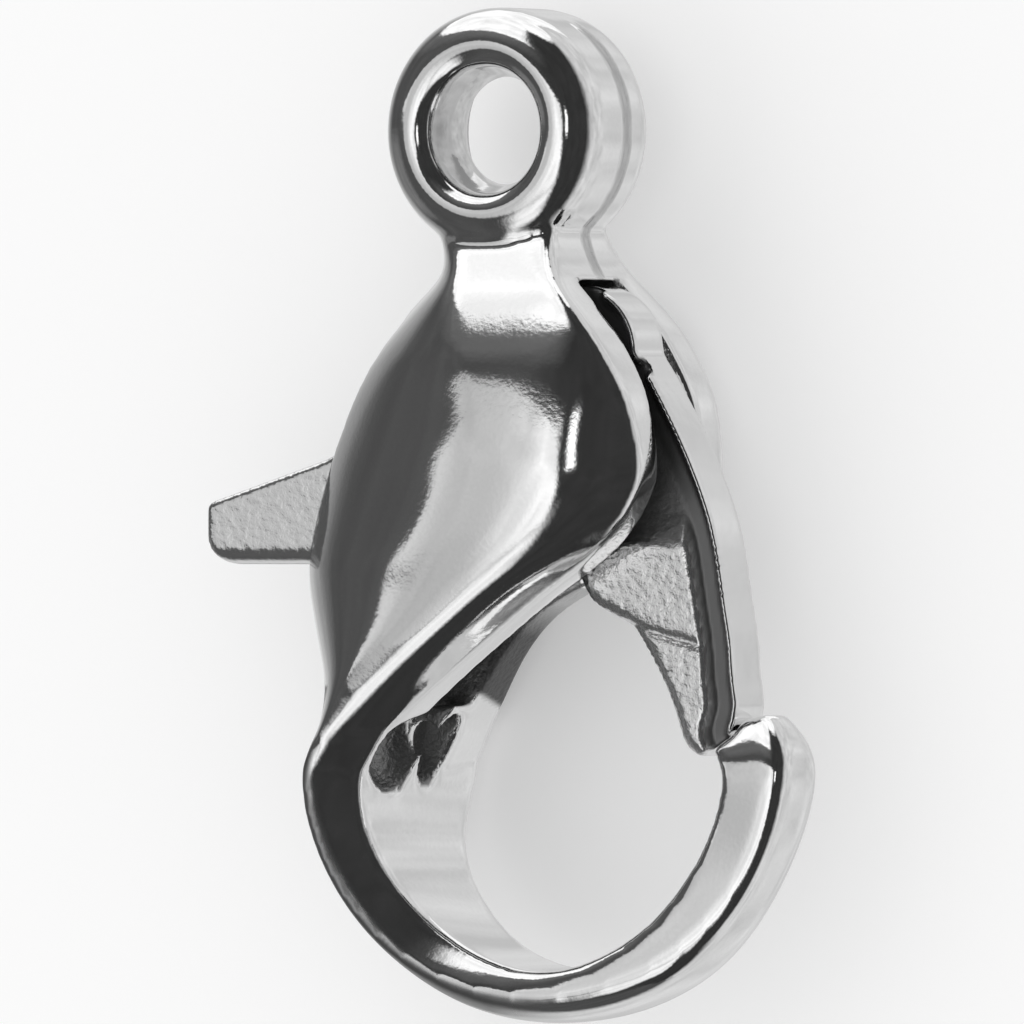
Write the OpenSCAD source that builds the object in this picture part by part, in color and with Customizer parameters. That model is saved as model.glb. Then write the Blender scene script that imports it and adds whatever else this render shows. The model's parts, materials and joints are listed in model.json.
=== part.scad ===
// Lobster clasp for a chain: a cast body with an eye and a hook, and a lever that closes the hook.
// It lies on its back: +Y points to the eye, +X to the gate's side, +Z is the front.
// The shapes are drawn round the eye's centre and the body's middle plane, then set down on the back.

/* [Overall] */
// From the eye's centre to the hook's lowest edge
reach = 13.2; // [12.8:0.02:13.6]
// From the eye's axis to the left edge of the dome
left_reach = 3.18; // [3:0.02:3.4]
// From the eye's axis to the hook's right edge
right_reach = 4.86; // [4.7:0.02:5]
// From the eye's axis to the cheeks' right rim
rim_reach = 2.8; // [2.6:0.02:2.9]

/* [Eye] */
// Outer diameter of the eye
eye_d = 3.6; // [3.4:0.02:3.8]
// Bore of the eye
eye_bore = 1.6; // [1.4:0.02:1.8]
// Thickness of the eye over its crest
eye_t = 1.8; // [1.6:0.02:1.9]
// Diameter of the crest on the eye's front
crest_d = 2.4; // [2.2:0.02:2.6]
// How far the front falls from the crest to the bore and to the outer edge
crest_drop = 0.16; // [0.1:0.02:0.2]
// Length of the straight bore, behind its front mouth
bore_land = 0.46; // [0.4:0.02:0.6]
// Diameter of the bore's wide mouth at the back
mouth_d = 2.8; // [2.4:0.02:2.9]
// Rounding of the bore's front mouth
mouth_round = 0.08; // [0.06:0.02:0.12]
// Rounding of the eye's outer edges
eye_round = 0.16; // [0.1:0.02:0.2]

/* [Cheeks] */
// Thickness of the body over the two domes
dome_t = 4; // [3.8:0.02:4.4]
// Thickness over the two rims beside the slot
rim_t = 2.7; // [2.5:0.02:3]
// Width of the slot between the cheeks
slot_w = 1.18; // [1.1:0.02:1.3]
// Thickness of the stem's wall behind the slot
slot_back = 0.94; // [0.8:0.02:1.04]

/* [Hook] */
// From the hook's centre down to its lowest edge
hook_drop = 3.76; // [3.6:0.02:3.9]
// Width of the hook's band, seen from the front
band_w = 0.9; // [0.8:0.01:1]
// Thickness of the stem, front to back
stem_t = 3.44; // [3.2:0.02:3.6]
// Thickness of the hook's arm below the tip
arm_t = 1.3; // [1.2:0.02:1.5]

/* [Lever] */
// Thickness of the lever
lever_t = 0.92; // [0.8:0.01:0.98]
// How far the thumb tab stands out past the dome
tab_out = 1.98; // [1.5:0.02:2.2]
// Height of the thumb tab at its end
tab_h = 0.94; // [0.8:0.02:1.1]
// Radius of the lever's round tail
tail_r = 1; // [0.9:0.01:1.05]
// How far the lever opens, in degrees
open_angle = 22; // [18:1:23]
// Gap between the gate's end and the hook's tip
gate_gap = 0.06; // [0.05:0.01:0.12]

/* [Hinge pin] */
// Diameter of the hinge pin
pin_d = 0.8; // [0.7:0.02:0.9]
// Play of the lever round the pin
pin_play = 0.04; // [0.02:0.01:0.06]
// Gap round the pin in the cheeks
pin_fit = 0.02; // [0.01:0.01:0.03]
// Metal left in front of the pin's blind end
pin_cover = 0.4; // [0.3:0.02:0.5]
// How deep the pin's open end lies below the back
pin_sunk = 0.04; // [0.02:0.01:0.08]

/* [Hidden] */

silver = [0.80, 0.80, 0.82];
bright = [0.88, 0.88, 0.89];
steel = [0.60, 0.60, 0.63];

// Facets of the round parts
fine = 96;
// Sections between two rows of a table
between = 3;
// Clearance round the lever in the slot, and room under the thumb tab
tail_play = 0.08;
tab_room = 0.26;

// The hook's centre and the half width of its outer edge
stem_share = 0.95;
hook_left = left_reach * stem_share;
hook_rx = (right_reach + hook_left) / 2;
hook_x = right_reach - hook_rx;
hook_y = hook_drop - reach;

// Level sections of the body, from the neck down to the hook's centre:
// how far down (share of hook_y), left edge (share of left_reach), right rim (share of rim_reach),
// crown (share of half dome_t), rim (share of half rim_t), squareness of the left side
DOWN = 0;
LEFT = 1;
RIM = 2;
CROWN = 3;
EDGE = 4;
SQUARE = 5;
dome_rows = [
    [0.15, 0.35, 0.38, 0.42, 0.61, 3.0],
    [0.18, 0.34, 0.40, 0.50, 0.70, 3.0],
    [0.22, 0.36, 0.46, 0.61, 0.84, 2.8],
    [0.26, 0.46, 0.58, 0.71, 0.97, 2.6],
    [0.31, 0.59, 0.73, 0.81, 1.04, 2.5],
    [0.36, 0.69, 0.84, 0.89, 1.03, 2.5],
    [0.42, 0.77, 0.94, 0.94, 0.99, 2.5],
    [0.49, 0.87, 0.99, 0.985, 0.99, 2.5],
    [0.55, 0.94, 0.99, 0.995, 0.99, 2.5],
    [0.62, 0.99, 0.86, 1.00, 0.99, 3.0],
    [0.68, 1.00, 0.56, 0.995, 0.99, 2.5],
    [0.74, 0.97, 0.09, 0.98, 0.97, 2.5],
    [0.81, 0.91, -0.19, 0.96, 0.99, 2.5],
    [0.87, 0.86, -0.34, 0.93, 1.10, 2.6],
    [0.93, 0.86, -0.48, 0.90, 1.21, 2.8],
    [0.96, 0.90, -0.54, 0.88, 1.25, 3.0],
];
// Where the crown lies between the left edge and the rim, and how square the fall to the rim is
crown_at = 0.52;
rim_square = 2.3;

// Sections of the hook, square to its edge: angle round its centre, outer edge (share of its half
// widths), band (share of band_w), thickness (0 at arm_t, 1 at stem_t), taper (share of the
// thickness), squareness of the outer side
ANGLE = 0;
OUTER = 1;
BAND = 2;
THICK = 3;
TAPER = 4;
hook_rows = [
    [180, 1.00, 1.44, 1.00, 1.00, 3.2],
    [190, 1.01, 1.33, 0.96, 1.00, 3.4],
    [205, 1.01, 1.18, 0.76, 1.00, 3.8],
    [220, 1.00, 1.11, 0.60, 1.00, 4.0],
    [235, 1.00, 1.03, 0.50, 1.00, 4.0],
    [250, 1.00, 0.95, 0.42, 1.00, 4.0],
    [270, 1.00, 0.85, 0.32, 1.00, 4.0],
    [290, 0.99, 0.90, 0.24, 1.00, 4.5],
    [305, 0.98, 0.96, 0.16, 1.00, 5.5],
    [320, 0.97, 1.02, 0.06, 1.00, 6.0],
    [335, 0.97, 1.00, 0.00, 1.00, 6.0],
    [350, 0.99, 0.95, 0.00, 1.00, 6.0],
    [360, 1.00, 1.00, 0.00, 0.98, 6.0],
    [367, 0.97, 1.16, 0.00, 0.84, 5.0],
    [374, 0.91, 1.15, 0.00, 0.55, 4.0],
];

// Points up the outer side of a section, and down to its rim
side_steps = 6;
fall_steps = 5;

// Place t between the middle two of four values, on a smooth curve through them all
function curve(a, b, c, d, t) =
    0.5 * (2 * b + (c - a) * t + (2 * a - 5 * b + 4 * c - d) * t * t + (3 * b - a - 3 * c + d) * t * t * t);
function held(rows, i) = rows[max(0, min(len(rows) - 1, i))];
// Value of a column at a place in a table: a whole place is a row, and the rest lies between two
function at(rows, column, place) =
    let (i = min(floor(place), len(rows) - 2))
    curve(
        held(rows, i - 1)[column], rows[i][column], rows[i + 1][column], held(rows, i + 2)[column],
        place - i
    );

// The hook's first section ends the dome's table, so that the two run on smoothly
level_rows = concat(dome_rows, [[
    1, stem_share, (hook_rows[0][BAND] * band_w - hook_left) / rim_reach,
    stem_t / dome_t, stem_t / rim_t, hook_rows[0][SQUARE],
]]);

// Sine or cosine of a superellipse
function bow(x, square) = pow(max(x, 0), 2 / square);

// Half a section as [along, height] pairs: up the outer side to the crown, then down to the rim
function half_section(width, crown, rim, square) =
    concat(
        [for (i = [0:side_steps])
            let (a = 90 * i / side_steps)
            [crown_at * width * (1 - bow(cos(a), square)), crown * bow(sin(a), square)]],
        [for (i = [1:fall_steps])
            let (a = 90 * i / fall_steps)
            [
                width * (crown_at + (1 - crown_at) * bow(sin(a), rim_square)),
                rim + (crown - rim) * bow(cos(a), rim_square),
            ]]
    );
// The closed section between two points of the front view: the front half, then the back half
function section(half, from, to) =
    let (
        unit = (to - from) / norm(to - from),
        whole = concat(half, [for (i = [len(half) - 1:-1:1]) [half[i][0], -half[i][1]]])
    )
    [for (p = whole) [from[0] + unit[0] * p[0], from[1] + unit[1] * p[0], p[1]]];

function level_y(place) = at(level_rows, DOWN, place) * hook_y;
function left_x(place) = -at(level_rows, LEFT, place) * left_reach;
function rim_x(place) = at(level_rows, RIM, place) * rim_reach;
function crown_z(place) = at(level_rows, CROWN, place) * dome_t / 2;
function rim_z(place) = at(level_rows, EDGE, place) * rim_t / 2;
function level_section(place) =
    section(
        half_section(
            rim_x(place) - left_x(place), crown_z(place), rim_z(place), at(level_rows, SQUARE, place)
        ),
        [left_x(place), level_y(place)],
        [rim_x(place), level_y(place)]
    );

hook_centre = [hook_x, hook_y];
function hook_edge(angle, share) = hook_centre + share * [hook_rx * cos(angle), hook_drop * sin(angle)];
function hook_section(place) =
    let (
        outer = hook_edge(at(hook_rows, ANGLE, place), at(hook_rows, OUTER, place)),
        inward = (hook_centre - outer) / norm(hook_centre - outer),
        band = at(hook_rows, BAND, place) * band_w,
        thick = arm_t + (stem_t - arm_t) * at(hook_rows, THICK, place),
        deep = at(hook_rows, TAPER, place) * thick / 2
    )
    section(half_section(band, deep, deep, at(hook_rows, SQUARE, place)), outer, outer + inward * band);

// One skin over the level sections and the hook's, with a cap at each end
level_steps = (len(level_rows) - 1) * between;
hook_steps = (len(hook_rows) - 1) * between;
skin = concat(
    [for (i = [0:level_steps]) level_section(i / between)],
    [for (i = [1:hook_steps]) hook_section(i / between)]
);
ring = len(skin[0]);
last = len(skin) - 1;
skin_faces = concat(
    [for (i = [0:last - 1], j = [0:ring - 1])
        [i * ring + j, (i + 1) * ring + (j + 1) % ring, (i + 1) * ring + j]],
    [for (i = [0:last - 1], j = [0:ring - 1])
        [i * ring + j, i * ring + (j + 1) % ring, (i + 1) * ring + (j + 1) % ring]],
    [for (j = [1:ring - 2]) [0, j + 1, j]],
    [for (j = [1:ring - 2]) [last * ring, last * ring + j, last * ring + j + 1]]
);

// The hinge lies at a place of the dome's table
pivot_place = 4.8;
pivot = [0.26 * right_reach, level_y(pivot_place)];
slot_r = tail_r + tail_play;
// Half thickness of the body at the hinge, where the crown falls to the rim
pivot_along = (pivot[0] - left_x(pivot_place)) / (rim_x(pivot_place) - left_x(pivot_place));
pivot_fall = max(0, (pivot_along - crown_at) / (1 - crown_at));
pivot_z = rim_z(pivot_place)
    + (crown_z(pivot_place) - rim_z(pivot_place)) * pow(1 - pow(pivot_fall, rim_square), 1 / rim_square);

// The lever's edges from its tail down to the gate's end: x (share of right_reach) and y (share of
// hook_y)
gate_outer = [
    [0.52, 0.39],
    [0.60, 0.46],
    [0.66, 0.52],
    [0.71, 0.58],
    [0.75, 0.65],
    [0.78, 0.74],
    [0.80, 0.80],
    [0.81, 0.86],
    [0.82, 0.90],
    [0.80, 0.94],
];
gate_inner = [
    [0.68, 0.98],
    [0.63, 0.96],
    [0.60, 0.92],
    [0.55, 0.86],
    [0.48, 0.80],
    [0.42, 0.77],
    [0.31, 0.74],
    [0.26, 0.70],
    [0.23, 0.67],
];
function gate_point(rows, place) = [at(rows, 0, place) * right_reach, at(rows, 1, place) * hook_y];
function gate_line(rows) =
    [for (i = [0:(len(rows) - 1) * between]) gate_point(rows, i / between)];

// The thumb tab: its level lower edge, its sloping upper edge and its rounded end
tab_end = left_reach + tab_out;
tab_y = 0.68 * hook_y;
// Where the sloping edge meets the dome's outline: across (share of left_reach) and up (share of tab_h)
tab_root_out = 0.965;
tab_root_up = 1.66;
tab_root = [-tab_root_out * left_reach, tab_y + tab_root_up * tab_h];
// Rounding of the end below and above, and the direction in which the sloping edge leaves it
tab_low = 0.46 * tab_h;
tab_high = 0.14 * tab_h;
tab_slope = 106;
function arc(centre, r, from, to, steps) =
    [for (i = [0:steps])
        let (a = from + (to - from) * i / steps)
        centre + r * [cos(a), sin(a)]];
tab_line = concat(
    [[-0.3 * left_reach, tab_y + 0.1 * tab_h], [-0.9 * left_reach, tab_y]],
    arc([tab_low - tab_end, tab_y + tab_low], tab_low, 270, 180, 5),
    arc([tab_high - tab_end, tab_y + tab_h - tab_high], tab_high, 180, tab_slope, 3),
    [tab_root]
);
// The tail, round the hinge from the arm's upper edge over the top to the gate's outer edge
arm_angle = 170;
tail_steps = 18;
lever_line = concat(
    arc(pivot, tail_r, arm_angle, 0, tail_steps), gate_line(gate_outer), gate_line(gate_inner), tab_line
);

// A point turned about the hinge with the lever, by an angle towards open
function opened(p, angle) =
    let (q = p - pivot)
    pivot + [q[0] * cos(angle) + q[1] * sin(angle), q[1] * cos(angle) - q[0] * sin(angle)];
// The arm's upper edge when the lever is open, moved out by the clearance
arm_top = opened(pivot + tail_r * [cos(arm_angle), sin(arm_angle)], open_angle);
arm_root = opened(tab_root, open_angle);
arm_unit = (arm_root - arm_top) / norm(arm_root - arm_top);
arm_up = tail_play * [arm_unit[1], -arm_unit[0]];

// The slot between the cheeks: open past the rim on the right and past the dome on the left
// The stem's wall, the slot's lower end with its bevel, and the steps along the gate's inner edge
stem_left = 0.887 * left_reach;
slot_floor = slot_back - stem_left;
slot_end = 1.022 * hook_y;
slot_bevel = [0.2, 0.1];
slot_top_y = 0.79 * hook_y;
slot_low_y = 0.92 * hook_y;
slot_gate_y = 0.85 * hook_y;
slot_side_y = 0.6 * hook_y;
slot_line = [
    pivot,
    arm_top + arm_up,
    arm_root + arm_up - [left_reach, 0],
    [-2 * left_reach, tab_y - tab_room],
    [-left_reach, tab_y - tab_room],
    [slot_floor, slot_top_y],
    [slot_floor, slot_end - slot_bevel[1]],
    [slot_floor + slot_bevel[0], slot_end],
    [hook_x, slot_low_y],
    [gate_point(gate_inner, 3)[0], slot_gate_y],
    [right_reach, slot_side_y],
    [right_reach, pivot[1]],
];

// The hook's tip is cut along the gate's end, a gap away from it
end_in = gate_point(gate_inner, 0);
end_out = gate_point(gate_outer, len(gate_outer) - 1);
end_unit = (end_out - end_in) / norm(end_out - end_in);
end_off = gate_gap * [end_unit[1], -end_unit[0]];
side_out = gate_point(gate_outer, len(gate_outer) - 2);
seat_top = 0.8 * hook_y;
seat_line = [
    end_in + end_off - end_unit * band_w,
    end_out + end_off,
    [side_out[0] + gate_gap, side_out[1]],
    [side_out[0] + gate_gap, seat_top],
    [0.8 * rim_reach, seat_top],
];

// The part's own frame: the middle of its box in X and Y, the lowest point of the back at Z = 0
middle = [(right_reach - tab_end) / 2, (eye_d / 2 - reach) / 2, -dome_t / 2];
module placed() translate(-middle) children();

// Outline of the eye's wall: the straight bore, its front mouth, the crest, the two outer edges and
// the back mouth. The crest is the top of a parabola between the mouth and the outer edge.
face_z = eye_t / 2 - crest_drop;
mouth_from = eye_bore / 2 + mouth_round;
face_to = eye_d / 2 - eye_round;
crest_steps = 6;
function crest_z(r, edge) =
    let (share = (r - crest_d / 2) / (edge - crest_d / 2))
    eye_t / 2 - crest_drop * share * share;
eye_wall = concat(
    [[eye_bore / 2, face_z - mouth_round - bore_land]],
    arc([mouth_from, face_z - mouth_round], mouth_round, 180, 90, 4),
    [for (i = [1:crest_steps])
        let (r = mouth_from + (crest_d / 2 - mouth_from) * i / crest_steps)
        [r, crest_z(r, mouth_from)]],
    [for (i = [1:crest_steps - 1])
        let (r = crest_d / 2 + (face_to - crest_d / 2) * i / crest_steps)
        [r, crest_z(r, face_to)]],
    arc([face_to, face_z - eye_round], eye_round, 90, 0, 6),
    arc([face_to, eye_round - face_z], eye_round, 0, -90, 6),
    [[mouth_d / 2, -eye_t / 2]]
);
module eye() rotate_extrude($fn = fine) polygon(eye_wall);

module body() color(silver) placed()
    difference() {
        union() {
            polyhedron(points = [for (s = skin) each s], faces = skin_faces, convexity = 8);
            eye();
        }
        translate([pivot[0], pivot[1], -slot_w / 2]) cylinder(h = slot_w, r = slot_r, $fn = fine);
        translate([0, 0, -slot_w / 2]) linear_extrude(slot_w) polygon(slot_line);
        translate([0, 0, -dome_t / 2]) linear_extrude(dome_t) polygon(seat_line);
        translate([pivot[0], pivot[1], -dome_t])
            cylinder(h = dome_t + pivot_z - pin_cover + pin_fit, r = pin_d / 2 + pin_fit, $fn = fine);
    }

module lever() color(bright) placed()
    translate([0, 0, -lever_t / 2])
        difference() {
            linear_extrude(lever_t) polygon(lever_line);
            translate([pivot[0], pivot[1], -lever_t / 2])
                cylinder(h = 2 * lever_t, r = pin_d / 2 + pin_play, $fn = fine);
        }

module hinge_pin() color(steel) placed()
    translate([pivot[0], pivot[1], pin_sunk - pivot_z])
        cylinder(h = 2 * pivot_z - pin_cover - pin_sunk, d = pin_d, $fn = fine);

body();
lever();
hinge_pin();
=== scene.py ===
import json
import math

import bpy
import numpy as np
from mathutils import Matrix, Vector


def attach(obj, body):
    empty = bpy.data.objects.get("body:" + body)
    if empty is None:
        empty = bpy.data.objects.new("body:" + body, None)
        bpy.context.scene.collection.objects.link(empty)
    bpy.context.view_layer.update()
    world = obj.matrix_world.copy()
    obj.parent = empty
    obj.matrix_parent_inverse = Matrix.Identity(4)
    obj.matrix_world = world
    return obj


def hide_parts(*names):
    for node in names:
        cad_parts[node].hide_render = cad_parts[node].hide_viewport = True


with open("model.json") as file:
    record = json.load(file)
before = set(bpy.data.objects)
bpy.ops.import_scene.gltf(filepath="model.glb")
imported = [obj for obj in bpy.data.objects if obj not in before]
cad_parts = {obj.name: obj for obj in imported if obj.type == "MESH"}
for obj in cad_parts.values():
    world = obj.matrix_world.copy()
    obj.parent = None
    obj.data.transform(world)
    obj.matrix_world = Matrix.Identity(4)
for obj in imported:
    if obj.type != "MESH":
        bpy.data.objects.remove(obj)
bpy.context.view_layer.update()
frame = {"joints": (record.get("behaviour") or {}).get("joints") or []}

# Body: one casting of plated brass with the eye, the two domed cheeks and the hook.
# It is cast in one piece, its slot is formed by a core and left rough, and the outside is tumbled and
# polished to a mirror. The slot and the wall behind the gate are painted darker as shade.
# The sizes are in millimetres from the eye's centre: across, up, and out of the front.
EYE_PLACE = np.array([0.15, 5.7, 2.0])
REACH = 13.2  # down to the hook's lowest point
HOOK_Y = -9.44  # the height of the hook's centre
LEFT = 3.18  # the cheeks' left side
RIM = 2.8  # the cheeks' right rim, at its widest
BAND = 0.9  # the width of the hook's band
EDGE = 0.08  # the small round along the rims
ROWS = 12  # rows of points between two stations
HOOK_THIN = 0.65  # half the hook's thickness before it tapers to the tip
HOOK_SWELL = 1.13  # how much more it is where the hook leaves the cheeks

# A row for each station down the cheeks. Its columns: how far down as a share of HOOK_Y, the left side as a
# share of LEFT, the rim's place in front and behind, the crown, the rim's height in front and behind, the
# crest's place behind, the left side's bow and squareness, the crest's place in front, and how late the
# front falls off.
cheek_stations = np.array(
    [
        [0.15, 0.38, 1.06, 1.06, 0.8, 0.8, 0.8, 0.5, 1.8, 1.8, 0.24, 8],
        [0.18, 0.355, 1.12, 1.12, 0.98, 0.95, 0.95, 0.5, 1.65, 1.65, 0.27, 8],
        [0.22, 0.355, 1.3, 1.29, 1.21, 1.2, 1.15, 0.5, 1.55, 1.55, 0.33, 8],
        [0.26, 0.48, 1.62, 1.62, 1.42, 1.4, 1.3, 0.5, 1.55, 1.5, 0.41, 7],
        [0.31, 0.65, 2.05, 2.04, 1.62, 1.5, 1.38, 0.5, 1.6, 1.45, 0.48, 6],
        [0.36, 0.795, 2.36, 2.35, 1.78, 1.46, 1.4, 0.52, 1.65, 1.4, 0.54, 5],
        [0.42, 0.925, 2.63, 2.63, 1.88, 1.38, 1.38, 0.54, 1.7, 1.35, 0.59, 4],
        [0.49, 1.025, 2.77, 2.77, 1.965, 1.27, 1.33, 0.55, 1.7, 1.35, 0.615, 3.5],
        [0.55, 1.08, 2.77, 2.77, 1.99, 1.25, 1.33, 0.55, 1.75, 1.4, 0.62, 3.5],
        [0.62, 1.115, 2.42, 2.41, 2.0, 1.24, 1.33, 0.55, 1.85, 1.5, 0.63, 3.5],
        [0.68, 1.11, 1.8, 1.57, 1.99, 1.23, 1.33, 0.55, 1.95, 1.7, 0.66, 3.5],
        [0.74, 1.07, 0.95, 0.25, 1.96, 1.22, 1.33, 0.55, 2.0, 1.8, 0.68, 3.4],
        [0.81, 1.0, 0.05, -0.53, 1.92, 1.24, 1.36, 0.52, 2.0, 1.8, 0.62, 3.2],
        [0.87, 0.94, -0.68, -0.95, 1.87, 1.3, 1.48, 0.48, 1.9, 1.6, 0.52, 2.6],
        [0.93, 0.92, -1.34, -1.34, 1.82, 1.35, 1.64, 0.44, 1.75, 1.4, 0.44, 1.6],
        [0.96, 0.925, -1.6, -1.51, 1.8, 1.37, 1.7, 0.42, 1.7, 1.3, 0.36, 1.35],
        [1.0, 0.94, -1.85, -1.72, 1.78, 1.38, 1.74, 0.4, 1.65, 1.25, 0.28, 1.25],
    ]
)

# A row for each station round the hook, from the cheeks' lower end to the tip. Its columns: the direction
# from the hook's centre in degrees, the outer rim's reach as a share, the band's width in front and behind
# as shares of BAND, how much lower the inner rim stands, the crest's place, the swell, the taper, and the
# outer side's bow and squareness.
hook_stations = np.array(
    [
        [180, 0.987, 1.2, 1.44, 0.4, 0.28, 1, 1, 1.65, 1.25],
        [190, 0.995, 1.1, 1.33, 0.4, 0.28, 0.94, 1, 1.65, 1.25],
        [205, 1.01, 1.03, 1.18, 0.38, 0.28, 0.74, 1, 1.65, 1.3],
        [220, 1.02, 1.04, 1.11, 0.34, 0.3, 0.58, 1, 1.7, 1.4],
        [235, 1.025, 1.06, 1.03, 0.26, 0.36, 0.48, 1, 1.8, 1.5],
        [250, 1.02, 1.0, 0.95, 0.16, 0.44, 0.4, 1, 2.0, 1.8],
        [270, 1.0, 0.87, 0.87, 0.06, 0.5, 0.3, 1, 2.2, 2.1],
        [290, 0.985, 0.92, 0.92, 0.04, 0.48, 0.22, 1, 2.6, 2.6],
        [305, 0.98, 1.0, 0.98, 0.03, 0.45, 0.15, 1, 4.0, 4.0],
        [320, 0.975, 1.08, 1.04, 0.02, 0.5, 0.06, 1, 5.5, 5.5],
        [335, 0.978, 1.12, 1.02, 0, 0.5, 0, 1, 6, 6],
        [350, 0.997, 1.17, 0.98, 0, 0.5, 0, 1, 6, 6],
        [360, 1.01, 1.24, 1.04, 0, 0.5, 0, 0.98, 6, 6],
        [367, 0.99, 1.36, 1.2, 0, 0.5, 0, 0.84, 5, 5],
        [374, 0.93, 1.3, 1.2, 0, 0.5, 0, 0.55, 4, 4],
    ]
)
hook_stations[:, 0] = np.radians(hook_stations[:, 0])


def through(values, places):
    """A natural cubic spline: a cubic between each two values, with equal slope and bend where they meet."""
    count = len(values)
    joined = np.eye(count)
    pull = np.zeros(count)
    middle = np.arange(1, count - 1)
    joined[middle, middle - 1] = 1
    joined[middle, middle] = 4
    joined[middle, middle + 1] = 1
    pull[middle] = 6 * (values[2:] - 2 * values[1:-1] + values[:-2])
    bend = np.linalg.solve(joined, pull)
    before = np.clip(np.floor(places).astype(int), 0, count - 2)
    far = places - before
    near = 1 - far
    curve = (near**3 - near) * bend[before] + (far**3 - far) * bend[before + 1]
    return near * values[before] + far * values[before + 1] + curve / 6


def columns(stations):
    """Each column of a table of stations, drawn through its stations by a spline and set upright."""
    places = np.linspace(0, len(stations) - 1, ROWS * (len(stations) - 1))
    return [through(column, places)[:, None] for column in stations.T]


def half_loop(width, middle, crown, rim, bow, square, crown_at, fall):
    """Half a section at each station: x = c(1 - cos^(2/m) a), z = h sin^(2/n) a up the outer side,
    then z = h - (h - e) t^p down to the rim, a small round, and the rim's face to its middle width."""
    slope = np.linspace(0, np.pi / 2, 36)
    side_x = crown_at * width * (1 - np.maximum(np.cos(slope), 0) ** (2 / bow))
    side_z = crown * np.sin(slope) ** (2 / square)
    across = np.linspace(0, 1, 26)[1:]
    fall_x = width * crown_at + (width * (1 - crown_at) - EDGE) * across
    fall_z = crown - (crown - rim) * across**fall
    bevel = np.linspace(0, np.pi / 2, 6)[1:]
    round_x = width - EDGE * (1 - np.sin(bevel))
    round_z = rim - EDGE * (1 - np.cos(bevel))
    face = np.linspace(1, 0, 8)[1:-1]
    along = np.concatenate([side_x, fall_x, round_x, middle + (width - middle) * face], 1)
    height = np.concatenate([side_z, fall_z, round_z, (rim - EDGE) * face], 1)
    return along, height


def closed_loop(start, end, front, back):
    """The closed sections from one point of the front view towards another: start + unit x, with z in front
    and -z behind."""
    unit = (end - start) / np.linalg.norm(end - start, axis=1, keepdims=True)
    along = np.concatenate([front[0], back[0][:, :0:-1]], 1)
    height = np.concatenate([front[1], -back[1][:, :0:-1]], 1)
    flat = start[:, None, :] + unit[:, None, :] * along[:, :, None]
    return np.concatenate([flat, height[:, :, None]], 2)


def grid_mesh(name, rings):
    """A closed mesh over rings of points: quads round and along, and a face at each end."""
    rows, cols = rings.shape[:2]
    row, col = np.meshgrid(np.arange(rows - 1), np.arange(cols), indexing="ij")
    first = row * cols
    after = (col + 1) % cols
    quads = np.stack([first + col, first + after, first + cols + after, first + cols + col], -1)
    ends = [np.arange(cols)[::-1].tolist(), ((rows - 1) * cols + np.arange(cols)).tolist()]
    mesh = bpy.data.meshes.new(name)
    mesh.from_pydata(rings.reshape(-1, 3).tolist(), [], quads.reshape(-1, 4).tolist() + ends)
    mesh.update()
    return mesh


def point_values(mesh, kind="co"):
    """The places of a mesh's points as rows, or their normals."""
    values = np.zeros(len(mesh.vertices) * 3)
    mesh.vertices.foreach_get(kind, values)
    return values.reshape(-1, 3)


def outward(mesh):
    """Turns a closed mesh so that its volume, the sum of origin-to-face pyramids, is above zero."""
    mesh.calc_loop_triangles()
    corners = np.zeros(len(mesh.loop_triangles) * 3, int)
    mesh.loop_triangles.foreach_get("vertices", corners)
    triangles = point_values(mesh)[corners.reshape(-1, 3)]
    if np.einsum("ij,ij->i", triangles[:, 0], np.cross(triangles[:, 1], triangles[:, 2])).sum() < 0:
        mesh.flip_normals()
    return mesh


def prism(name, outline, low, high):
    """A flat outline carried straight up from one height to another."""
    return outward(grid_mesh(name, np.stack([np.insert(outline, 2, level, 1) for level in (low, high)])))


def round_piece(name, centre, profile, steps=128):
    """A profile of radius and height turned round an upright axis: (r cos a, r sin a, z)."""
    turn = np.linspace(0, 2 * np.pi, steps, endpoint=False)
    x = centre[0] + profile[:, :1] * np.cos(turn)
    y = centre[1] + profile[:, :1] * np.sin(turn)
    rings = np.stack([x, y, np.broadcast_to(profile[:, 1:], x.shape)], -1)
    return outward(grid_mesh(name, rings))


def corner(centre, radius, start, stop, steps):
    """Points on an arc, from one direction in degrees to another."""
    turn = np.radians(np.linspace(start, stop, steps))
    return np.array(centre) + radius * np.stack([np.cos(turn), np.sin(turn)], -1)


def ball(name, centre, radii):
    """An ellipsoid: (a cos e cos t, b cos e sin t, c sin e) round its centre."""
    rise = np.linspace(-np.pi / 2 + 0.02, np.pi / 2 - 0.02, 40)
    turn = np.linspace(0, 2 * np.pi, 64, endpoint=False)
    rise, turn = np.meshgrid(rise, turn, indexing="ij")
    rings = np.stack([np.cos(rise) * np.cos(turn), np.cos(rise) * np.sin(turn), np.sin(rise)], -1)
    return outward(grid_mesh(name, rings * np.array(radii) + np.array(centre)))


def set_points(mesh, points):
    """Places a mesh's points, given in millimetres from the eye's centre, in the clasp's frame in metres."""
    mesh.vertices.foreach_set("co", ((points + EYE_PLACE) * 0.001).ravel())


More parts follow.
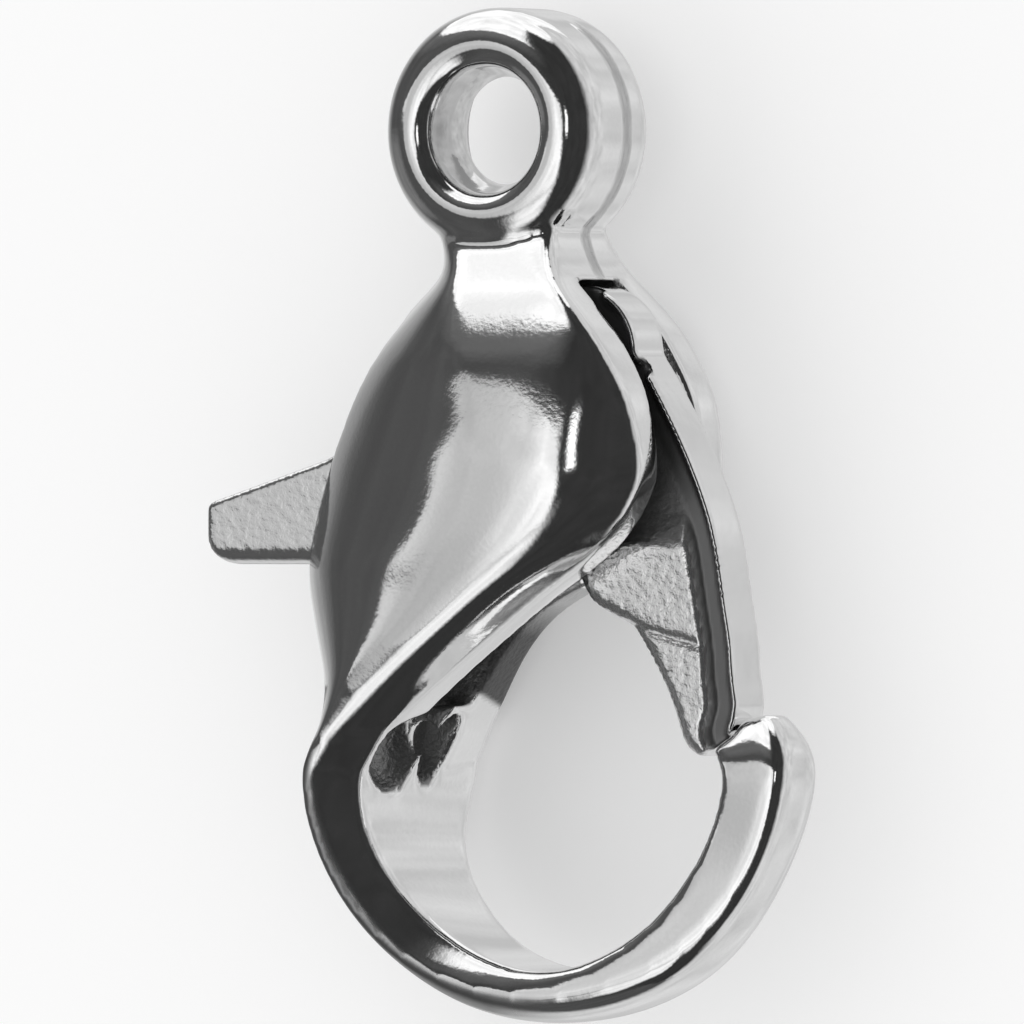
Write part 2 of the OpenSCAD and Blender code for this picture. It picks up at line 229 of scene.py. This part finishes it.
def casting(name, first, added, cut, grain, soften):
    """One solid out of several: the added ones joined, the cut ones taken away, then an even skin of small
    quads, whose points are drawn to the middle of their neighbours, which rounds the edges like a mould."""
    collection = bpy.context.scene.collection
    whole = bpy.data.objects.new(name, first)
    collection.objects.link(whole)
    helpers = []
    for solid, operation in [(mesh, "UNION") for mesh in added] + [(mesh, "DIFFERENCE") for mesh in cut]:
        helper = bpy.data.objects.new("helper", solid)
        collection.objects.link(helper)
        helpers.append(helper)
        step = whole.modifiers.new("join", "BOOLEAN")
        step.operation = operation
        step.solver = "MANIFOLD"
        step.object = helper
    skin = whole.modifiers.new("skin", "REMESH")
    skin.mode = "VOXEL"
    skin.voxel_size = grain
    skin.use_smooth_shade = True
    ease = whole.modifiers.new("ease", "SMOOTH")
    ease.factor = 0.5
    ease.iterations = soften
    bpy.context.view_layer.update()
    ready = whole.evaluated_get(bpy.context.evaluated_depsgraph_get())
    mesh = bpy.data.meshes.new_from_object(ready)
    for helper in helpers + [whole]:
        bpy.data.objects.remove(helper)
    set_points(mesh, point_values(mesh))
    mesh.polygons.foreach_set("use_smooth", np.ones(len(mesh.polygons), bool))
    mesh.name = name
    mesh.update()
    piece = bpy.data.objects.new(name, mesh)
    collection.objects.link(piece)
    return piece


down, left_share, *cheek_columns = columns(cheek_stations)
rim_front, rim_back, crown, rim_height, rim_back_height, crest_back = cheek_columns[:6]
left_bow, left_square, crest_at, fall_power = cheek_columns[6:]
BACK_ROUND = 2.3  # the bow and the squareness of the cheeks' back
cheek_y = down * HOOK_Y
cheek_left = -left_share * LEFT
wide = rim_front - cheek_left
front_half = half_loop(wide, wide, crown, rim_height, left_bow, left_square, crest_at, fall_power)
wide = rim_back - cheek_left
back_half = half_loop(wide, wide, crown, rim_back_height, BACK_ROUND, BACK_ROUND, crest_back, fall_power)
cheek_edge = np.concatenate([cheek_left, cheek_y], 1)
cheeks = closed_loop(cheek_edge, cheek_edge + [1, 0], front_half, back_half)

hook_left = 0.95 * LEFT
hook_right = 4.86
hook_half = (hook_right + hook_left) / 2
hook_centre = np.array([hook_right - hook_half, HOOK_Y])
hook_columns = [column[1:] for column in columns(hook_stations)]
way, outer_share, band_front, band_back, slant, crest_in, swell, taper, hook_bow, hook_square = hook_columns
oval = np.concatenate([hook_half * np.cos(way), (REACH + HOOK_Y) * np.sin(way)], 1)
rim_point = hook_centre + outer_share * oval
inward = (hook_centre - rim_point) / np.linalg.norm(hook_centre - rim_point, axis=1, keepdims=True)
deep = taper * (HOOK_THIN + HOOK_SWELL * swell)
wide_front = band_front * BAND
wide_back = band_back * BAND
wide_middle = (wide_front + wide_back) / 2
front_half = half_loop(wide_front, wide_middle, deep, deep - slant, hook_bow, hook_square, crest_in, 1.25)
back_half = half_loop(wide_back, wide_middle, deep, deep - 0.04, 2.6, 2.6, 0.4, 2.0)
hook = closed_loop(rim_point, rim_point + inward, front_half, back_half)
casting_skin = outward(grid_mesh("skin", np.concatenate([cheeks, hook])))

EYE_R = 1.82  # the eye's outer radius
EYE_BACK = 0.9  # its flat back
EYE_TOP = 1.13  # the height of its blank, just under the crest
EYE_CORNER = 0.1  # the round along its back edge
BORE_R = 0.8
BORE_BACK_R = 1.4  # the bore's wide back mouth
AXIS_R = 0.02  # where a turned profile ends beside its axis


def smooth_line(points, steps):
    """A spline through points of a flat line."""
    places = np.linspace(0, len(points) - 1, steps)
    return np.stack([through(column, places) for column in points.T], -1)


# The eye's front rim as radius and height: up the outer side, over the rounded crest and down to the bore.
eye_crest = np.array(
    [
        [EYE_R, 0.5],
        [1.81, 0.68],
        [1.74, 0.88],
        [1.57, 1.05],
        [1.38, 1.125],
        [1.25, 1.145],
        [1.15, 1.13],
        [1.06, 1.1],
        [0.99, 1.06],
        [0.955, 0.98],
        [0.92, 0.86],
        [0.87, 0.7],
        [0.82, 0.54],
        [BORE_R, 0.45],
    ]
)
crest_line = smooth_line(eye_crest, 48)
eye_profile = np.concatenate(
    [
        [[AXIS_R, -EYE_BACK], [1.2, -EYE_BACK]],
        corner([EYE_R - EYE_CORNER, EYE_CORNER - EYE_BACK + 0.14], EYE_CORNER, -90, 0, 8),
        crest_line[:24],
        [[AXIS_R, EYE_TOP]],
    ]
)
# The bore's cutter goes up the dish to just past the top of the crest, and then straight out of the front.
bore_profile = np.concatenate(
    [
        [[AXIS_R, -2.0], [BORE_BACK_R, -2.0], [BORE_BACK_R, -EYE_BACK], [BORE_R, 0.2]],
        crest_line[:20:-1],
        [[crest_line[21, 0], 2.0], [AXIS_R, 2.0]],
    ]
)

TAIL_R = 1.0  # the lever's round tail
PLAY = 0.08  # the room round the lever
TAB_Y = 0.68 * HOOK_Y  # the thumb tab's lower edge
TAB_H = 0.94  # its height
TAB_END = LEFT + 1.98  # its end
OPEN = math.radians(22)  # how far the lever opens
SLOT_HALF = 0.59  # half the slot's width
SLOT_FRONT_END = -9.25  # the lower end of the slot's front part
SLOT_BACK_END = -8.5  # and of its back part
LOBE_FRONT = ([-1.7, -9.1, 0.6], [0.54, 0.76, 0.6])  # the two hollows at the slot's end: place and radii
LOBE_BACK = ([-1.68, -9.08, -0.36], [0.5, 0.64, 0.27])
PIN_HOLE_R = 0.42
PIN_HOLE_END = 1.32  # its blind end, behind the front cheek's skin

pivot = np.array(frame["joints"][0]["pos_m"])[:2] * 1000 - EYE_PLACE[:2]
tab_root = np.array([-0.965 * LEFT, TAB_Y + 1.66 * TAB_H])
# The gate's outer and inner sides, as shares of hook_right across and of HOOK_Y down.
gate_outer = np.array(
    [
        [0.52, 0.39],
        [0.6, 0.46],
        [0.66, 0.52],
        [0.71, 0.58],
        [0.75, 0.65],
        [0.78, 0.74],
        [0.8, 0.8],
        [0.81, 0.86],
        [0.82, 0.9],
        [0.8, 0.94],
    ]
) * [hook_right, HOOK_Y]
gate_inner = np.array(
    [
        [0.68, 0.98],
        [0.63, 0.96],
        [0.6, 0.92],
        [0.55, 0.86],
        [0.48, 0.8],
        [0.42, 0.77],
        [0.31, 0.74],
        [0.26, 0.7],
        [0.23, 0.67],
    ]
) * [hook_right, HOOK_Y]

# The slot leaves room for the lever's arm at its open limit, and ends at a floor on the left.
open_turn = np.array([[math.cos(OPEN), math.sin(OPEN)], [-math.sin(OPEN), math.cos(OPEN)]])
tail_side = np.array([math.cos(math.radians(170)), math.sin(math.radians(170))])
arm_top = pivot + open_turn @ (TAIL_R * tail_side)
arm_root = pivot + open_turn @ (tab_root - pivot)
arm_unit = (arm_root - arm_top) / np.linalg.norm(arm_root - arm_top)
arm_up = PLAY * np.array([arm_unit[1], -arm_unit[0]])
slot_floor = 0.94 - 0.887 * LEFT
slot_end = 1.022 * HOOK_Y
slot_outline = np.array(
    [
        pivot,
        arm_top + arm_up,
        arm_root + arm_up - [LEFT, 0],
        [-2 * LEFT, TAB_Y - 0.26],
        [-LEFT, TAB_Y - 0.26],
        [slot_floor, 0.79 * HOOK_Y],
        [slot_floor, slot_end - 0.1],
        [slot_floor + 0.2, slot_end],
        [hook_centre[0], 0.92 * HOOK_Y],
        [gate_inner[3, 0], 0.85 * HOOK_Y],
        [hook_right, 0.6 * HOOK_Y],
        [hook_right, pivot[1]],
    ]
)
slot_round = corner(pivot, TAIL_R + PLAY, 0, 357, 120)

# The hook's tip is cut parallel to the gate's end, and bevelled in front.
SEAT_GAP = 0.06
FACET_SIZE = 2.0  # half the side of the facet's cutter
FACET_TILT = math.radians(40)
end_in = gate_inner[0]
end_out = gate_outer[-1]
end_unit = (end_out - end_in) / np.linalg.norm(end_out - end_in)
end_off = SEAT_GAP * np.array([end_unit[1], -end_unit[0]])
seat_outline = np.array(
    [
        end_in + end_off - end_unit * BAND,
        end_out + end_off,
        gate_outer[-2] + [SEAT_GAP, 0],
        [gate_outer[-2, 0] + SEAT_GAP, 0.8 * HOOK_Y],
        [0.8 * RIM, 0.8 * HOOK_Y],
    ]
)
tip_out = -end_off / np.linalg.norm(end_off)
tip_foot = end_out + end_off - 0.2 * tip_out
facet_out = np.append(tip_out * math.sin(FACET_TILT), math.cos(FACET_TILT))
facet_long = np.append(end_unit, 0)
facet_up = np.cross(facet_out, facet_long)
facet_corners = [
    side * FACET_SIZE * facet_long + rise * FACET_SIZE * facet_up
    for side, rise in ((-1, -1), (1, -1), (1, 1), (-1, 1))
]
facet_base = np.append(tip_foot, 0.66) + np.array(facet_corners)
tip_facet = outward(grid_mesh("tip_facet", np.stack([facet_base, facet_base + 2 * facet_out])))
pin_hole = np.array([[AXIS_R, -3.0], [PIN_HOLE_R, -3.0], [PIN_HOLE_R, PIN_HOLE_END], [AXIS_R, PIN_HOLE_END]])
body = casting(
    "body_casting",
    casting_skin,
    [round_piece("eye", [0, 0], eye_profile)],
    [
        round_piece("bore", [0, 0], bore_profile),
        prism("slot_round", slot_round, -SLOT_HALF, SLOT_HALF),
        prism("slot", np.maximum(slot_outline, [-9, SLOT_BACK_END]), -SLOT_HALF, SLOT_HALF),
        prism("slot_end", np.maximum(slot_outline, [-9, SLOT_FRONT_END]), -0.08, SLOT_HALF),
        prism("seat", seat_outline, -3, 3),
        round_piece("pin_hole", pivot, pin_hole),
        ball("lobe_front", *LOBE_FRONT),
        ball("lobe_back", *LOBE_BACK),
        tip_facet,
    ],
    grain=0.06,
    soften=20,
)


class Value:
    """One output of a shader node. Arithmetic on it adds Math nodes, and node() adds any other."""

    def __init__(self, tree, socket):
        self.tree = tree
        self.socket = socket

    def node(self, kind, links, out=0, **settings):
        """Adds a node: its settings first, then the values or links of its inputs, by name or number."""
        new = self.tree.nodes.new(kind)
        for name, value in settings.items():
            setattr(new, name, value)
        for name, value in links.items():
            if isinstance(value, Value):
                self.tree.links.new(value.socket, new.inputs[name])
            else:
                new.inputs[name].default_value = value
        return Value(self.tree, new.outputs[out])

    def math(self, operation, first, second=0.0):
        return self.node("ShaderNodeMath", {0: first, 1: second}, operation=operation)

    def __add__(self, other):
        return self.math("ADD", self, other)

    def __radd__(self, other):
        return self.math("ADD", other, self)

    def __sub__(self, other):
        return self.math("SUBTRACT", self, other)

    def __rsub__(self, other):
        return self.math("SUBTRACT", other, self)

    def __mul__(self, other):
        return self.math("MULTIPLY", self, other)

    def __rmul__(self, other):
        return self.math("MULTIPLY", other, self)

    def __abs__(self):
        return self.math("ABSOLUTE", self)

    def ramp(self, low, high, **settings):
        """0 below low, 1 above high, and straight between."""
        return self.node("ShaderNodeMapRange", {0: self, 1: low, 2: high, 3: 0.0, 4: 1.0}, **settings)

    def ease(self, low, high):
        """0 below low, 1 above high, and a smooth step between."""
        return self.ramp(low, high, interpolation_type="SMOOTHSTEP")


def metal(name, shade):
    """A bare metal material: its Principled node, and the Object coordinates to draw patterns with."""
    material = bpy.data.materials.new(name)
    material.use_nodes = True
    shader = material.node_tree.nodes["Principled BSDF"]
    shader.inputs["Metallic"].default_value = 1.0
    shader.inputs["Base Color"].default_value = (*shade, 1)
    place = material.node_tree.nodes.new("ShaderNodeTexCoord").outputs["Object"]
    return material, shader, Value(material.node_tree, place)


def noise(place, scale, detail=2.0):
    """Fractal noise, with its scale in waves for each millimetre."""
    return place.node("ShaderNodeTexNoise", {"Vector": place, "Scale": scale * 1000, "Detail": detail})


def kept_share(place, name):
    """The value that a mesh keeps for each point under this name."""
    return place.node("ShaderNodeAttribute", {}, out=2, attribute_name=name)


def from_eye(place, axis):
    """One coordinate of a point, in millimetres from the eye's centre."""
    return place.node("ShaderNodeSeparateXYZ", {0: place}, out=axis) * 1000 - EYE_PLACE[axis]


def wear_in(place, shader, roughness, height, distance):
    """Feeds a roughness, and a height in millimetres as a bump, to a metal."""
    links = {"Height": height, "Strength": 1.0, "Distance": distance * 0.001}
    bump = place.node("ShaderNodeBump", links)
    place.tree.links.new(roughness.socket, shader.inputs["Roughness"])
    place.tree.links.new(bump.socket, shader.inputs["Normal"])


def tint(place, shader, brightness):
    """Feeds one brightness to all three colours of a metal."""
    mixed = place.node("ShaderNodeCombineColor", {0: brightness, 1: brightness, 2: brightness})
    place.tree.links.new(mixed.socket, shader.inputs["Base Color"])


def dress(piece, material):
    """Leaves a piece with this one material."""
    piece.data.materials.clear()
    piece.data.materials.append(material)


def keep_share(mesh, name, values):
    """Keeps one value for each point of a mesh, for its material."""
    layer = mesh.attributes.new(name, "FLOAT", "POINT")
    layer.data.foreach_set("value", values.astype(np.float32))


def inside(points, outline):
    """Which points lie inside a flat outline: an odd number of its sides cross a ray from the point."""
    x, y = points[:, :1], points[:, 1:2]
    first, second = outline, np.roll(outline, -1, 0)
    spans = (first[:, 1] > y) != (second[:, 1] > y)
    rise = np.where(second[:, 1] == first[:, 1], 1, second[:, 1] - first[:, 1])
    side_x = first[:, 0] + (y - first[:, 1]) * (second[:, 0] - first[:, 0]) / rise
    return (spans & (x < side_x)).sum(1) % 2 == 1


def swelled(outline, by):
    """An outline moved away from its own middle."""
    away = outline - outline.mean(0)
    return outline + by * away / np.linalg.norm(away, axis=1, keepdims=True)


def faded(value, low, high):
    """0 below low, 1 above high, and straight between."""
    return np.clip((value - low) / (high - low), 0, 1)


def rough_and_shaded_share(points, normals):
    """Where the slot is left rough and painted darker as shade: 1 in the slot and its two hollows but not on
    the polished face below them, and up to 1.25 on the wall behind the gate, a painted shadow that fades
    towards its lower end."""
    x, y, z = points.T
    to_opening = normals @ np.array([0.64, -0.77, 0])
    between = abs(z) < SLOT_HALF + 0.02
    in_slot = inside(points, swelled(slot_outline[:8], 0.04)) | inside(points, swelled(slot_round, 0.02))
    at_end = inside(points, swelled(slot_outline, 0.04)) & (x < -0.3)
    in_slot = (in_slot | at_end) & between & ((to_opening < 0.5) | (y > -8.3))
    for middle, radii in (LOBE_FRONT, LOBE_BACK):
        in_slot = in_slot | ((((points - middle) / (np.array(radii) + 0.02)) ** 2).sum(1) < 1)
    on_wall = (to_opening > 0.15) & (x < 0.7) & (x > -2) & (z < -0.3)
    wall_low = -8.3 + 0.25 * (z + 0.3)
    wall_shadow = faded(y, wall_low, wall_low + 0.08) * (1.25 - 0.6 * faded(y, -7.5, -7.0))
    return np.maximum(in_slot * 1.0, on_wall * wall_shadow)


def matte_shaded_edge_share(points, normals):
    """Where the hook's outer edge in front, down to the bottom, is made rougher and painted darker, a
    painted dark reflection along that edge.
    """
    from_centre = points[:, :2] - hook_centre
    reach = np.linalg.norm(from_centre, axis=1)
    from_rim = rim_point - hook_centre
    rim_turn = np.degrees(np.arctan2(from_rim[:, 1], from_rim[:, 0])) % 360
    rim_reach = np.linalg.norm(from_rim, axis=1)
    turn = np.degrees(np.arctan2(from_centre[:, 1], from_centre[:, 0])) % 360
    from_edge = np.interp(turn, np.unwrap(rim_turn, period=360), rim_reach) - reach
    outwards = (normals[:, :2] * from_centre).sum(1) / reach
    on_hook = (points[:, 2] > 0) & (turn > 160) & (turn < 276)
    near_edge = (1 - faded(from_edge, 0.37, 0.47)) * (1 - faded(turn, 256, 276))
    return on_hook * near_edge * faded(outwards, -0.62, -0.52) * faded(normals[:, 2], 0.15, 0.35)


skin_points = point_values(body.data) * 1000 - EYE_PLACE
skin_normals = point_values(body.data, "normal")
keep_share(body.data, "rough_and_shaded", rough_and_shaded_share(skin_points, skin_normals))
# Painted dark reflection: the hook's outer edge in front is made darker, as well as rougher.
keep_share(body.data, "matte_shaded_edge", matte_shaded_edge_share(skin_points, skin_normals))

silver, silver_shader, place = metal("polished_cast_silver", (0.9, 0.9, 0.905))
waves = noise(place, 0.7)
pores = noise(place, 14.0, 3.0)
rough_and_shaded = kept_share(place, "rough_and_shaded")
matte_shaded_edge = kept_share(place, "matte_shaded_edge")
across = from_eye(place, 0)
along = from_eye(place, 1)
seam_off = abs(from_eye(place, 2) + 0.1)
seam = (1 - seam_off.ease(0.03, 0.17)) * across.ease(0.75, 1.15) * along.ease(-2.5, -1.9)
# Painted shade: the bore's wall is made darker.
bore_shade = 1 - (across * across + along * along).ease(0.8, 0.95)
rough = 0.05 + 0.05 * pores + 0.35 * rough_and_shaded + 0.3 * matte_shaded_edge
wear_in(place, silver_shader, rough, waves + (0.16 + 4 * rough_and_shaded) * pores + 7 * seam, 0.006)
# Painted shade darkens the slot, its hollows, the wall behind the gate and the bore's wall. A painted dark
# reflection darkens the hook's outer edge. The pores and the seam are the metal's own tone.
shaded = 0.62 * rough_and_shaded + 0.06 * pores + 0.2 * bore_shade + 0.36 * seam + 0.6 * matte_shaded_edge
tint(place, silver_shader, 0.95 - shaded)
dress(body, silver)
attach(body, "clasp")
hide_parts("body")

# Hinge pin: a plain steel rivet through both cheeks that the lever turns on.
# It is cut from wire, pushed in from the back and left a little below the surface.
PIN_R = 0.4
PIN_BACK = -1.65
PIN_FRONT = 1.28
PIN_FOOT = 0.07  # the round on its back end
PIN_NOSE = 0.05  # and on its front end

pin_profile = np.concatenate(
    [
        [[0.01, PIN_BACK]],
        corner([PIN_R - PIN_FOOT, PIN_BACK + PIN_FOOT], PIN_FOOT, -90, 0, 8),
        corner([PIN_R - PIN_NOSE, PIN_FRONT - PIN_NOSE], PIN_NOSE, 0, 90, 6),
        [[0.01, PIN_FRONT]],
    ]
)
pin_mesh = round_piece("rivet", pivot, pin_profile, 96)
set_points(pin_mesh, point_values(pin_mesh))
pin = bpy.data.objects.new("hinge_rivet", pin_mesh)
bpy.context.scene.collection.objects.link(pin)
steel, steel_shader, place = metal("drawn_pin_steel", (0.62, 0.62, 0.65))
scratches = noise(place, 9.0, 4.0)
wear_in(place, steel_shader, 0.22 + 0.2 * scratches, scratches, 0.004)
dress(pin, steel)
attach(pin, "clasp")
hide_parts("hinge_pin")

# Lever: the cast gate with its round tail in the slot and the flat thumb tab on the left.
# It is one casting of the same metal, with the mould's grain left on the gate's front.
LEVER_HALF = 0.46  # half its thickness
LEVER_BORE_R = 0.44
ROUND = 0.05  # the round along its edges
GROOVE = 0.24  # how deep the groove beside the outer edge is

tab_low = 0.46 * TAB_H
tab_high = 0.14 * TAB_H
gate_outer_line = smooth_line(gate_outer, 60)
lever_outline = np.concatenate(
    [
        corner(pivot, TAIL_R, 170, 0, 40),
        gate_outer_line,
        smooth_line(gate_inner, 60),
        [[-0.3 * LEFT, TAB_Y + 0.1 * TAB_H], [-0.9 * LEFT, TAB_Y]],
        corner([tab_low - TAB_END, TAB_Y + tab_low], tab_low, 270, 180, 12),
        corner([tab_high - TAB_END, TAB_Y + TAB_H - tab_high], tab_high, 180, 106, 8),
        [tab_root],
    ]
)


def drawn_in(outline, by):
    """An outline moved towards its inside, each point along the mean normal of its two sides."""
    side = np.roll(outline, -1, 0) - outline
    side = side / np.linalg.norm(side, axis=1, keepdims=True)
    mean = side + np.roll(side, 1, 0)
    mean = mean / np.linalg.norm(mean, axis=1, keepdims=True)
    return outline + by * np.stack([mean[:, 1], -mean[:, 0]], -1)


def away_from(points, line):
    """The distance of each point from the nearest point of a line."""
    return np.sqrt(((points[:, None, :2] - line[None]) ** 2).sum(2).min(1))


def eased(value, low, high):
    """0 below low, 1 above high, and 3t^2 - 2t^3 between."""
    part = faded(value, low, high)
    return part * part * (3 - 2 * part)


rings = []
for slope in np.radians([0, 22.5, 45, 67.5, 90]):
    inset = drawn_in(lever_outline, ROUND * (1 - math.sin(slope)))
    rings.append(np.insert(inset, 2, ROUND * (1 - math.cos(slope)) - LEVER_HALF, 1))
rings = rings + [ring * [1, 1, -1] for ring in rings[::-1]]
lever_bore = np.array([[AXIS_R, -2], [LEVER_BORE_R, -2], [LEVER_BORE_R, 2], [AXIS_R, 2]])
lever = casting(
    "lever_casting",
    outward(grid_mesh("lever_blank", np.array(rings))),
    [],
    [round_piece("lever_bore", pivot, lever_bore)],
    grain=0.048,
    soften=6,
)

# The gate's front is sunk: a groove runs beside the outer edge, the inner edge is chamfered, and a step
# crosses it. The tab's front rounds off towards its lower edge.
lever_points = point_values(lever.data) * 1000 - EYE_PLACE
lever_x, lever_y, lever_z = lever_points.T
from_outer = away_from(lever_points, np.concatenate([corner(pivot, TAIL_R, 60, 0, 20), gate_outer_line]))
from_inner = away_from(lever_points, smooth_line(gate_inner, 40))
front = eased(lever_z, 0.2, 0.4) * eased(lever_x, 0.2, 0.8)
past_groove = eased(from_outer, 0.44, 0.54) * eased(-lever_y, 5.6, 6.2)
trough = eased(from_outer, 0.03, 0.2) * (1 - 0.8 * past_groove)
shaded_groove = front * eased(from_outer, 0.05, 0.11) * (1 - past_groove)
edge_low = 0.07 * (1 - np.minimum(from_inner / 0.16, 1))
step_off = lever_y + 7.42 + 0.25 * (lever_x - 2.6)
step = np.exp(-((step_off / 0.06) ** 2)) * eased(from_outer, 0.4, 0.6)
tab_front = eased(lever_z, 0.2, 0.42) * (lever_x < -1.5)
from_low = faded(lever_y, TAB_Y, TAB_Y + 0.26)
rounded_off = 0.22 * (1 - np.sqrt(1 - (1 - from_low) ** 2))
sunk = front * (GROOVE * trough + edge_low + 0.04 * step) + tab_front * rounded_off
lever_points[:, 2] -= sunk
set_points(lever.data, lever_points)
keep_share(lever.data, "as_cast", np.maximum(front * eased(from_outer, 0.4, 0.55), 0.5 * tab_front))
# Painted shade: the groove beside the gate's outer edge is made darker, as well as rougher.
keep_share(lever.data, "shaded_groove", shaded_groove)
lever.data.update()

gate_silver, gate_shader, place = metal("cast_lever_silver", (0.88, 0.88, 0.885))
grain = noise(place, 8.0, 3.0)
soft_waves = noise(place, 1.4)
as_cast = kept_share(place, "as_cast")
shaded_groove = kept_share(place, "shaded_groove")
rough = 0.07 + 0.05 * grain + 0.12 * as_cast + 0.3 * shaded_groove
wear_in(place, gate_shader, rough, (0.15 + 2.0 * as_cast) * grain + soft_waves, 0.009)
# The groove's colour is painted shade.
tint(place, gate_shader, 0.9 - 0.68 * shaded_groove)
dress(lever, gate_silver)
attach(lever, "gate")
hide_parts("lever")

# Floor, light and camera: a sheet of pale paper that the clasp lies on, in a soft white studio.
# The polished metal mirrors the studio's cards and dark gaps, and nothing else is lit by them.
# The camera stands 31 degrees to the clasp's right, level with its middle, and has a long lens.
FLOOR_HALF = 0.3
floor_points = np.array([[-1, -1, 0], [1, -1, 0], [1, 1, 0], [-1, 1, 0]]) * FLOOR_HALF
floor_mesh = bpy.data.meshes.new("floor")
floor_mesh.from_pydata(floor_points.tolist(), [], [[0, 1, 2, 3]])
floor = bpy.data.objects.new("floor", floor_mesh)
bpy.context.scene.collection.objects.link(floor)
paper = bpy.data.materials.new("floor_paper")
paper.use_nodes = True
paper_inputs = paper.node_tree.nodes["Principled BSDF"].inputs
paper_inputs["Base Color"].default_value = (0.7, 0.7, 0.7, 1)
paper_inputs["Emission Color"].default_value = (1, 1, 1, 1)
paper_inputs["Emission Strength"].default_value = 0.27
paper_inputs["Roughness"].default_value = 0.9
dress(floor, paper)
floor.visible_glossy = False

# Each direction in the studio is told by how far it is turned to the right of the clasp's front, and how far
# it is raised towards the eye, in degrees.
world = bpy.data.worlds.new("studio")
bpy.context.scene.world = world
world.use_nodes = True
tree = world.node_tree
tree.nodes.clear()
toward = Value(tree, tree.nodes.new("ShaderNodeTexCoord").outputs["Generated"])
parts = [toward.node("ShaderNodeSeparateXYZ", {0: toward}, out=axis) for axis in range(3)]
to_right, to_eye, to_front = parts
turned = toward.math("ARCTAN2", to_right, to_front) * (180 / math.pi)
raised = toward.math("ARCSINE", to_eye) * (180 / math.pi)


def panel(low, high, bottom, top, soft):
    """A soft-edged patch of the studio: 1 between two turns and two heights in degrees, and 0 outside."""
    across = turned.ease(low - soft, low + soft) * (1 - turned.ease(high - soft, high + soft))
    return across * raised.ease(bottom - soft, bottom + soft) * (1 - raised.ease(top - soft, top + soft))


def larger(first, second):
    return toward.math("MAXIMUM", first, second)


def smaller(first, second):
    return toward.math("MINIMUM", first, second)


# The window is the large card on the left. Its left side leans inwards below 8 degrees, its right side leans
# below 0, and its top slopes down to both ends. It is brightest on its right.
leaning = 2.8 * smaller(larger(8 - raised, 0.0), 6.0) + 1.1 * larger(2 - raised, 0.0)
window_right = turned + 0.25 * smaller(raised, 0.0)
window_top = raised + 0.2 * larger(turned + 32, 0.0) + 0.5 * larger(-36 - turned, 0.0)
window = (turned - leaning).ease(-68, -60) * (1 - window_right.ease(0, 6))
window = window * (1 - window_top.ease(15.5, 17.5)) * raised.ease(-30, -18)
shade = 0.5 + 0.16 * (1 - turned.ease(-60, -36)) + 0.52 * turned.ease(-38, -5)

# The other cards: a small highlight, a strip below, one overhead, and walls that glow on both sides.
highlight = 1.3 * panel(10.5, 18, -1, 9, 1.2)
low_strip = 0.9 * panel(-22, 10, -56, -20, 7)
overhead = 1.08 * raised.ease(35, 37.5) * (1 - turned.ease(-14, -2) * (1 - raised.ease(70, 76)))
left_wall = (1 - (turned + 0.2 * raised).ramp(-136, -86)) * raised.ease(-66, -48)
right_wall = turned.ease(74, 108) * raised.ease(-70, -55)
walls = 0.66 * larger(left_wall, right_wall)
side_glow = 0.17 * (1 - turned.ease(-70, -50)) * (1 - raised.ease(-4, 8)) * raised.ease(-40, -22)
back_glow = 0.03 + 0.045 * (1 - turned.ease(-50, 0))
high_glow = 0.13 * raised.ease(12, 32) * (1 - turned.ease(-30, 20))
glow = back_glow
for card in (side_glow, highlight, high_glow, shade * window, low_strip, overhead, walls):
    glow = larger(glow, card)
cloud = toward.node("ShaderNodeTexNoise", {"Vector": toward, "Scale": 5.0, "Detail": 4.0})
reflection = toward.node("ShaderNodeBackground", {"Color": glow * (0.55 + 0.85 * cloud), "Strength": 1.0})
soft_light = toward.node("ShaderNodeBackground", {"Color": (1, 1, 1, 1), "Strength": 1.0})
glossy = Value(tree, tree.nodes.new("ShaderNodeLightPath").outputs["Is Glossy Ray"])
mixed = toward.node("ShaderNodeMixShader", {0: glossy, 1: soft_light, 2: reflection})
tree.links.new(mixed.socket, tree.nodes.new("ShaderNodeOutputWorld").inputs["Surface"])

CAMERA_TURN = math.radians(31)
CAMERA_AWAY = 0.3
FRAME_PX = 1024  # the picture's side
MM_PX = 67.5  # pixels for each millimetre at the clasp
SENSOR = 36
target = (np.array([-0.112, -5.644, 0]) + EYE_PLACE) * 0.001
toward_camera = np.array([math.sin(CAMERA_TURN), 0, math.cos(CAMERA_TURN)])
camera_data = bpy.data.cameras.new("camera")
camera_data.sensor_width = SENSOR
camera_data.lens = MM_PX * SENSOR * CAMERA_AWAY * 1000 / FRAME_PX
camera_data.clip_start = 0.001
camera = bpy.data.objects.new("camera", camera_data)
bpy.context.scene.collection.objects.link(camera)
camera.location = Vector(target + toward_camera * CAMERA_AWAY)
back = Vector(toward_camera)
right = Vector((0, 1, 0)).cross(back).normalized()
up = back.cross(right)
camera.rotation_mode = "QUATERNION"
camera.rotation_quaternion = Matrix((right, up, back)).transposed().to_quaternion()
bpy.context.scene.camera = camera
bpy.context.scene.view_settings.view_transform = "Standard"
